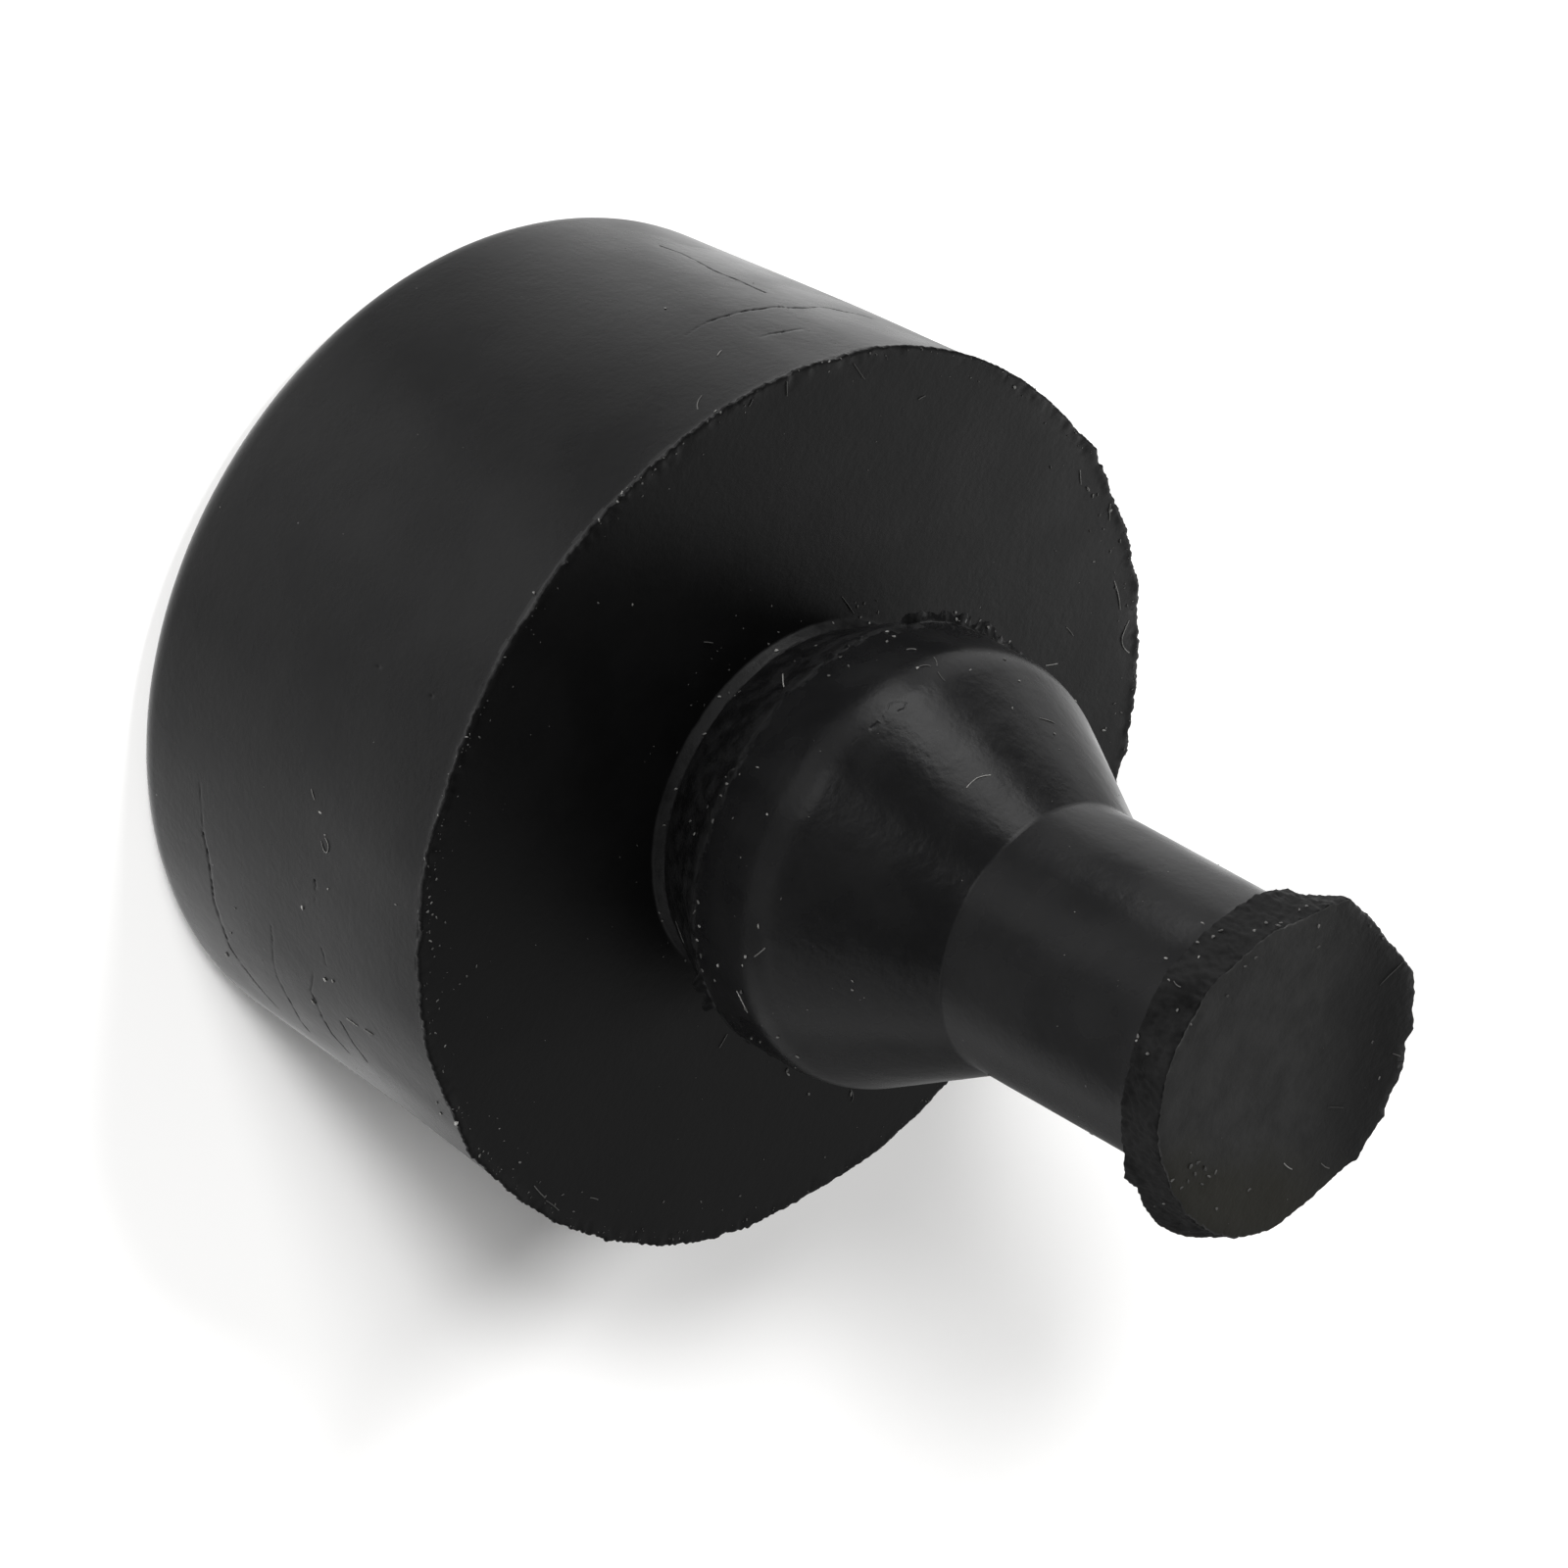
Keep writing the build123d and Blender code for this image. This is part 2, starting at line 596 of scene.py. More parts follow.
def pixelRay(pixel):
    # from the camera through a pixel of the photograph
    across = (pixel[0] / pixels - 0.5) * photoView["sensor"] / photoView["lens"]
    down = (pixel[1] / pixels - 0.5) * photoView["sensor"] / photoView["lens"]
    way = camera.matrix_world.to_3x3() @ Vector((across, -down, -1))
    return camera.matrix_world.translation, way.normalized()


def placeOn(piece, pixel):
    # the place and normal on a piece under a pixel, or nothing where the pixel misses it
    origin, way = pixelRay(pixel)
    found, place, normal, face = piece.ray_cast(origin, way)
    return (place, normal) if found else None


# (cuts, least and most height, least and most radius) at the rim, the flare and the disc
tornBands = [(7, 10.1, 10.32, 9.7, 10.2), (3, 10.53, 12.7, 3.9, 5.2), (3, 23.2, 24.36, 3.1, 4.2)]
for band in tornBands:
    refineRings(bufferBody, *band)
print("torn edges refined,", len(bufferBody.data.polygons), "faces")


# Cracks, scores and pits, as (width in mm, depth in mm, pixels of the photograph that the line follows)
scoreLines = [
    (0.018, 0.012, [(204, 799), (206, 830), (207, 849)]),
    (0.02, 0.03, [(207, 849), (210, 862), (213, 876), (214, 886), (216, 900), (218, 917)]),
    (0.02, 0.03, [(218, 917), (226, 942), (235, 967)]),
    (0.02, 0.028, [(235, 967), (248, 986), (261, 1003), (272, 1016), (284, 1029)]),
    (0.018, 0.014, [(277, 945), (278, 958), (279, 980), (283, 996)]),
    (0.02, 0.03, [(283, 996), (292, 1014), (300, 1029), (307, 1042), (316, 1053)]),
    (0.02, 0.022, [(320, 992), (317, 1011), (326, 1030), (332, 1044)]),
    (0.022, 0.034, [(328, 1036), (339, 1055), (350, 1067), (357, 1075)]),
    (0.018, 0.016, [(329, 967), (332, 976), (334, 985)]),
    (0.02, 0.03, [(348, 1042), (355, 1054), (361, 1064), (369, 1074), (376, 1083)]),
    (0.02, 0.035, [(322, 898), (323, 904), (322, 908)]),
    (0.018, 0.014, [(323, 915), (322, 921)]),
    (0.02, 0.018, [(674, 251), (694, 258), (712, 267)]),
    (0.02, 0.026, [(712, 267), (728, 276), (740, 281), (753, 286), (768, 293), (782, 299)]),
    (0.018, 0.012, [(700, 341), (712, 333), (722, 328)]),
    (0.02, 0.03, [(722, 328), (732, 324), (753, 318), (765, 316), (776, 315), (788, 313), (800, 313)]),
    (0.02, 0.03, [(804, 314), (824, 314), (835, 313), (847, 314), (860, 317)]),
    (0.018, 0.02, [(860, 317), (871, 319), (881, 321), (891, 324)]),
    (0.02, 0.022, [(776, 342), (784, 339), (791, 338), (806, 336), (819, 334)]),
    (0.028, 0.035, [(386, 680), (388, 681)]),
    (0.028, 0.035, [(440, 710), (442, 711)]),
    (0.02, 0.007, [(905, 724), (907, 719), (912, 716), (919, 715), (925, 718), (923, 723), (916, 726)]),
    (0.04, 0.014, [(889, 743), (893, 740), (896, 737)]),
    (0.022, 0.008, [(898, 735), (901, 731)]),
    (0.02, 0.006, [(880, 745), (876, 752), (870, 758)]),
]


def linePlaces(piece, line, gap):
    # places on the piece along a line of pixels, about gap mm apart
    places = []
    for start, end in zip(line, line[1:]):
        steps = max(2, int(math.dist(start, end) / pixelsPerMm / gap))
        across, down = end[0] - start[0], end[1] - start[1]
        for step in range(steps):
            share = step / steps
            found = placeOn(piece, (start[0] + across * share, start[1] + down * share))
            if found:
                places.append(found[0])
    return places


def treeOf(places):
    tree = kdtree.KDTree(len(places))
    for index, place in enumerate(places):
        tree.insert(place, index)
    tree.balance()
    return tree


def refineNear(piece, tree, margin):
    # the faces that come within a margin in mm of the lines are divided once
    points = piece.data.vertices

    def isNear(face):
        size = max((points[index].co - face.center).length for index in face.vertices)
        return tree.find(face.center)[2] < size + margin * mm

    divideChosen(piece, "FACE", isNear, 1)


def roundRings(piece, turns):
    # points that a division left on a straight edge go out to the ring's true circle
    part = 2 * math.pi / turns
    for vertex in piece.data.vertices:
        angle = math.atan2(vertex.co.y, vertex.co.x) % part
        grow = math.cos(angle - part / 2) / math.cos(part / 2)
        vertex.co.x *= grow
        vertex.co.y *= grow


bpy.context.view_layer.update()
scorePlaces = []
scoreKinds = []
scoreGap = 0.015  # mm
scoreMargins = [0.05, 0.045, 0.045, 0.04]  # mm, one for each division
for width, depth, line in scoreLines:
    found = linePlaces(bufferBody, line, scoreGap)
    scorePlaces += found
    scoreKinds += [(width, depth)] * len(found)
scoreTree = treeOf(scorePlaces)
for margin in scoreMargins:
    refineNear(bufferBody, scoreTree, margin)
roundRings(bufferBody, bufferShape["turns"])
print("cracks refined,", len(bufferBody.data.polygons), "faces")


# The torn and trimmed forms, as measured round the photographed part
tornShape = {
    # where each kind of tear ends, as heights
    "headTop": 10.32,
    "flareTop": 12.75,
    "tailTop": 23.1,
    "faceStart": 24.345,
    "seatStart": 10.29,
    "seatWide": 9.9,  # radius
    # heights and radii over which each form fades in, in mm
    "sideRise": (5.5, 10.1),
    "sideReach": (8.9, 9.85),
    "wallReach": (9, 9.4),
    "lipRise": (10.15, 10.215),
    "lipReach": (9.86, 9.97),
    "chipRise": (10.25, 10.295),
    "chipReach": (9.6, 9.8),
    "tearRise": (10.52, 10.8),
    "tearEnd": (12.5, 12.62),
    "beadEnd": (10.5, 10.6),
    "finReach": (4.845, 4.93),
    "finRise": (12.3, 12.38),
    "finEnd": (12.57, 12.65),
    "faceReach": (0.5, 3.2),
    "dishReach": (0.6, 3.45),
    "discReach": (3.3, 3.45),
    "discTop": (24.1, 24.33),
    # noise as layers of (mm, bump size in mm, seed)
    "wallWave": [(0.006, 2.6, 3.0)],
    "seatWave": [(0.004, 1.1, 8.0)],
    "rimStubs": (0.05, 0.9, 1.0),
    "rimLift": 0.01,
    "rimTeeth": [(0.045, 0.37, 2.0), (0.045, 0.15, 5.0), (0.045, 0.08, 7.0)],
    "rimWave": [(0.035, 0.45, 6.0), (0.012, 0.12, 9.0)],
    "seatChips": [(1, 0.2, 10.0), (0.8, 0.9, 45.0)],
    "flareFlakes": [(0.032, 0.6, 11.0), (0.013, 0.24, 12.0), (0.006, 0.11, 13.0)],
    "beadBumps": [(0.012, 0.3, 42.0), (0.005, 0.12, 43.0)],
    "finGaps": [(0.9, 1.3, 14.0), (0.5, 0.35, 20.0)],
    "finTeeth": [(0.13, 0.5, 15.0), (0.07, 0.22, 16.0), (0.04, 0.09, 17.0)],
    "finWave": [(0.05, 0.45, 18.0), (0.03, 0.15, 19.0)],
    "wallWear": [(0.005, 1.5, 21.0)],
    "discTeeth": [(0.035, 0.32, 37.0)],
    "discGrain": [(0.035, 0.13, 38.0), (0.015, 0.07, 39.0)],
    "faceWave": [(0.015, 1.1, 31.0)],
    "discSide": [(0.04, 0.6, 33.0), (0.02, 0.25, 34.0), (0.01, 0.12, 35.0)],
    "finLeft": (0.45, 0.95),  # how much of the fin must be left for it to stand
    "finStub": 0.03,
    "finFoot": 4.84,  # radius that the barb's fin stands on
    "finWidth": 0.21,  # how far it stands out as drawn
    "chipDepth": 0.025,
    "discCalm": 0.7,  # how much smoother its side is beside the trimmed face
    "faceDish": 0.1,  # how far the trimmed face's middle sinks
    # how a crack's sides fall in
    "crack": {
        "reach": 3,  # in widths of the crack
        "faceHeight": 24.2,  # above it they fall straight down
        "coneHeights": (12.7, 17.7),  # between them they fall down as well as in
        "coneFall": 0.4,
        "depthRange": (0.75, 0.8),  # the least, and what the noise adds
        "noise": (0.25, 41.0),  # bump size in mm, seed
    },
    # how far the rim stands out of round, as (angle, mm)
    "rimReach": [
        (0, 0.09), (12, 0.11), (22, 0.21), (34, 0.13), (43, 0.0), (56, 0.03), (66, -0.03),
        (86, 0.0), (110, -0.02), (117, 0.03), (124, -0.01), (129, 0.02), (136, -0.02), (140, 0.01),
        (144, -0.06), (148, -0.03), (156, -0.11), (164, 0.0), (168, -0.08), (178, -0.09),
        (196, -0.05), (208, -0.01), (216, -0.07), (228, -0.07), (236, -0.1), (248, -0.12),
        (258, -0.06), (268, -0.06), (273, 0.0), (288, 0.03), (300, 0.14), (306, 0.1), (320, 0.14),
        (332, 0.08), (340, 0.15), (348, 0.08),
    ],
    # short nicks and bumps of the rim, as (angle, half width in degrees, mm)
    "rimNicks": [
        (163, 1.6, 0.05), (161, 1.0, -0.05), (153.5, 1.6, -0.03), (148.8, 0.9, 0.045),
        (128, 1.0, -0.04), (119, 1.4, -0.04), (116.4, 0.9, 0.05), (296, 1.6, 0.06),
        (306.3, 1.4, -0.05), (217.9, 1.2, 0.04), (215, 0.9, -0.04), (339, 1.2, 0.04),
    ],
    # how much of the rim's fin is left, every ten degrees
    "rimFin": [
        0.9, 1.0, 1.0, 0.9, 0.7, 0.6, 0.6, 0.7, 0.8, 0.8, 0.8, 0.9, 1.0, 0.9, 0.9, 0.8, 0.6, 0.3,
        0.25, 0.2, 0.25, 0.4, 0.6, 0.8, 0.9, 0.9, 0.8, 0.7, 0.7, 0.8, 0.9, 1.0, 1.0, 0.9, 0.9, 0.9,
    ],
    # how much of the barb's fin is left, every twenty degrees
    "barbFin": [
        0.4, 0.7, 0.8, 0.6, 0.5, 0.6, 0.8, 1.0, 1.1, 1.2, 1.1, 0.6, 0.4, 0.35, 0.35, 0.4, 0.45,
        0.35,
    ],
    # the disc's rear and front outlines, as (angle, radius in mm)
    "discRear": [
        (3, 3.8), (16, 3.95), (30, 3.9), (60, 3.7), (90, 3.7), (120, 3.7), (150, 3.55), (180, 3.4),
        (195, 3.3), (201, 3.32), (210, 3.46), (221, 3.53), (231, 3.47), (249, 3.56), (261, 3.63),
        (277, 3.54), (294, 3.46), (312, 3.45), (326, 3.47), (335, 3.6), (346, 3.53),
    ],
    "discFront": [
        (0, 3.4), (20, 3.54), (41, 3.6), (50, 3.5), (62, 3.51), (72, 3.6), (77, 3.8), (82, 3.72),
        (90, 3.7), (93, 3.83), (95, 3.66), (100, 3.64), (105, 3.74), (113, 3.68), (118, 3.58),
        (122, 3.76), (129, 3.62), (135, 3.69), (144, 3.65), (152, 3.5), (163, 3.3), (171, 3.34),
        (186, 3.46), (195, 3.64), (204, 3.5), (216, 3.36), (230, 3.45), (246, 3.47), (258, 3.62),
        (270, 3.58), (282, 3.62), (296, 3.55), (309, 3.52), (329, 3.36),
    ],
}


def evenValue(values, angle):
    # a value from a list at equal turns, eased between its neighbours
    place = (angle % 360) / 360 * len(values)
    first = int(place) % len(values)
    share = place - int(place)
    share = share * share * (3 - 2 * share)
    return values[first] * (1 - share) + values[(first + 1) % len(values)] * share


def outlineValue(points, angle):
    # a radius from a list of (angle, radius), run straight between its neighbours
    angle %= 360
    rows = [(points[-1][0] - 360, points[-1][1])] + points + [(points[0][0] + 360, points[0][1])]
    for (before, low), (after, high) in zip(rows, rows[1:]):
        if before <= angle <= after:
            share = (angle - before) / (after - before)
            return low * (1 - share) + high * share
    return points[0][1]


def ease(value, low, high):
    share = min(1, max(0, (value - low) / (high - low)))
    return share * share * (3 - 2 * share)


def roughness(point, size, seed):
    # signed noise whose bumps are about size mm across
    return noise.noise(point / (size * mm) + Vector((seed, seed * 1.7, -seed)))


def layered(place, layers, start=0):
    # the sum of layers of noise, on top of a value
    return sum((strength * roughness(place, size, seed) for strength, size, seed in layers), start)


def nickValue(nicks, angle):
    # the sum of the short bumps and nicks that reach an angle
    total = 0
    for middle, half, reach in nicks:
        off = abs((angle - middle + 180) % 360 - 180) / half
        if off < 1:
            total += reach * (1 - off)
    return total


def tearHead(co, out, angle, height, wide, torn):
    share = ease(height, *torn["sideRise"]) * ease(wide, *torn["sideReach"])
    move = out * (outlineValue(torn["rimReach"], angle) * share * mm)
    move += out * (layered(co, torn["wallWave"]) * ease(wide, *torn["wallReach"]) * mm)
    if height > torn["seatStart"] and wide < torn["seatWide"]:
        move.z += layered(co, torn["seatWave"]) * mm
    lip = ease(height, *torn["lipRise"]) * ease(wide, *torn["lipReach"])
    if lip > 0:
        left = evenValue(torn["rimFin"], angle)
        edge = out * wide * mm
        strength, size, seed = torn["rimStubs"]
        teeth = strength * max(0, 0.5 + roughness(edge, size, seed))
        teeth += layered(edge, torn["rimTeeth"])
        move += out * ((left * lip * teeth + lip * nickValue(torn["rimNicks"], angle)) * mm)
        move.z += left * lip * (layered(edge, torn["rimWave"]) + torn["rimLift"]) * mm
    # small chips along the seat's edge
    chip = ease(wide, *torn["chipReach"]) * ease(height, *torn["chipRise"])
    if chip > 0:
        move.z += chip * torn["chipDepth"] * min(0, layered(co, torn["seatChips"])) * mm
    return move


def tearFlare(co, out, angle, height, wide, torn):
    # smooth dark tears on the flare, and a thin ragged fin above them
    tear = ease(height, *torn["tearRise"]) * (1 - ease(height, *torn["tearEnd"]))
    bead = 1 - ease(height, *torn["beadEnd"])
    flakes = tear * layered(co, torn["flareFlakes"]) + bead * layered(co, torn["beadBumps"])
    move = out * (flakes * mm)
    fin = ease(wide, *torn["finReach"]) * ease(height, *torn["finRise"])
    fin *= 1 - ease(height, *torn["finEnd"])
    if fin > 0:
        # where the fin has torn away it leaves nothing but a faint step
        edge = out * wide * mm
        left = evenValue(torn["barbFin"], angle)
        there = ease(layered(edge, torn["finGaps"], left), *torn["finLeft"])
        ragged = layered(edge, torn["finTeeth"])
        width = torn["finWidth"]
        reach = max(-width, there * (torn["finStub"] + left * ragged) - width * (1 - there))
        move += out * ((wide - torn["finFoot"]) / width * reach * mm)
        move.z += fin * there * layered(edge, torn["finWave"]) * mm
    return move


def tearDisc(co, out, angle, height, wide, torn, shape):
    # rear and front outlines differ, and the side between is torn
    rear = outlineValue(torn["discRear"], angle)
    front = outlineValue(torn["discFront"], angle)
    share = ease(height, shape["discStart"], shape["discEnd"])
    drawn, foot = shape["discRadius"], shape["discFoot"]
    edge = out * drawn * mm
    target = rear * (1 - share) + front * share
    target += layered(edge, torn["discTeeth"])
    target += layered(co, torn["discGrain"])
    if height > torn["faceStart"]:
        move = out * (wide * (target / drawn - 1) * ease(wide, *torn["faceReach"]) * mm)
        dish = torn["faceDish"] * (1 - ease(wide, *torn["dishReach"]))
        move.z += (layered(co, torn["faceWave"]) - dish) * mm
        return move
    if wide < foot - 0.01:
        return Vector((0, 0, 0))
    move = out * (((target - foot) / (drawn - foot) * (wide - foot) - (wide - foot)) * mm)
    side = ease(wide, *torn["discReach"])
    side *= layered(co, torn["discSide"])
    move += out * (side * (1 - torn["discCalm"] * ease(height, *torn["discTop"])) * mm)
    return move


def crackMove(co, out, height, distance, width, depth, crack):
    # how far a point beside a crack falls in, about along the surface's own normal
    inward = -out if height < crack["faceHeight"] else Vector((0, 0, -1))
    low, high = crack["coneHeights"]
    if low < height < high:
        inward = (inward + Vector((0, 0, -crack["coneFall"]))).normalized()
    sharp = math.exp(-((distance / (width * mm)) ** 2))
    least, more = crack["depthRange"]
    uneven = least + more * roughness(co, *crack["noise"])
    return inward * (depth * (sharp * uneven) * mm)


def tearShape(piece, torn, shape, tree, kinds):
    for vertex in piece.data.vertices:
        co = vertex.co
        radius = max(math.hypot(co.x, co.y), 1e-9)
        out = Vector((co.x / radius, co.y / radius, 0))
        angle = math.degrees(math.atan2(co.y, co.x))
        height = co.z / mm
        wide = radius / mm
        if height <= torn["headTop"]:
            move = tearHead(co, out, angle, height, wide, torn)
        elif height < torn["flareTop"]:
            move = tearFlare(co, out, angle, height, wide, torn)
        elif height < torn["tailTop"]:
            # barb and tail: the faint unevenness of a worn mould
            move = out * (layered(co, torn["wallWear"]) * mm)
        else:
            move = tearDisc(co, out, angle, height, wide, torn, shape)
        near, index, distance = tree.find(co)
        width, depth = kinds[index]
        if distance < torn["crack"]["reach"] * width * mm:
            move += crackMove(co, out, height, distance, width, depth, torn["crack"])
        vertex.co = co + move


tearShape(bufferBody, tornShape, bufferShape, scoreTree, scoreKinds)
print("rim, fin, disc and cracks torn")


def finishPiece(piece, materials, chooser, sharpAngle):
    for material in materials:
        piece.data.materials.append(material)
    for face in piece.data.polygons:
        face.material_index = chooser(face)
    startClean()
    bpy.context.view_layer.objects.active = piece
    piece.select_set(True)
    bpy.ops.object.shade_smooth_by_angle(angle=math.radians(sharpAngle))
    piece.select_set(False)


# Where each finish ends, as heights and radii
finishEnds = {
    "wallTop": 10.12,
    "rimTop": 10.36,
    "rimWide": 9.97,
    "beadWide": bufferShape["neckRadius"] + 0.12,
    "beadTop": bufferShape["flareStart"] - 0.02,
    "tornTop": 12.55,
    "barbTop": 23.2,
    "faceFoot": 24.2,
    "lipFoot": 24.33,
    "lipWide": 3.1,
    # how far the ragged ends wander, in mm
    "wallWander": -0.05,
    "rimWander": 0.06,
    "beadWander": 0.05,
    "tornWander": 0.22,
    "noise": [(1, 0.5, 51.0), (0.6, 0.15, 52.0)],
    # how much a face points up where it counts as flat
    "flat": 0.9,
    "lipFlat": 0.97,
}


def bufferFinish(face):
    # which rubber a face has, by its place; torn edges end raggedly
    ends = finishEnds
    height = face.center.z / mm
    wide = math.hypot(face.center.x, face.center.y) / mm
    flat = face.normal.z
    ragged = layered(face.center, ends["noise"])
    if height < ends["wallTop"] + ends["wallWander"] * ragged:
        return "headRubber"
    if height < ends["rimTop"] and wide > ends["beadWide"]:
        torn = wide > ends["rimWide"] + ends["rimWander"] * ragged and flat < ends["flat"]
        return "tornRubber" if torn else "seatRubber"
    # the bead gets the paler rubber of its painted highlight
    if height < ends["beadTop"] + ends["beadWander"] * ragged:
        return "beadPaintedHighlight"
    if height < ends["tornTop"] + ends["tornWander"] * ragged:
        return "tornRubber"
    if height < ends["barbTop"]:
        return "barbRubber"
    # the cut face's lip gets the paler rubber of its painted highlight
    if height > ends["lipFoot"] and wide > ends["lipWide"] and flat < ends["lipFlat"]:
        return "lipPaintedHighlight"
    trimmed = height > ends["faceFoot"] and flat > ends["flat"]
    return "trimmedRubber" if trimmed else "discRubber"


finishPiece(bufferBody, rubberMaterials, lambda face: materialOrder.index(bufferFinish(face)), 50)
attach(bufferBody, "root")
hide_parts("rubber_buffer")
print("buffer finished")


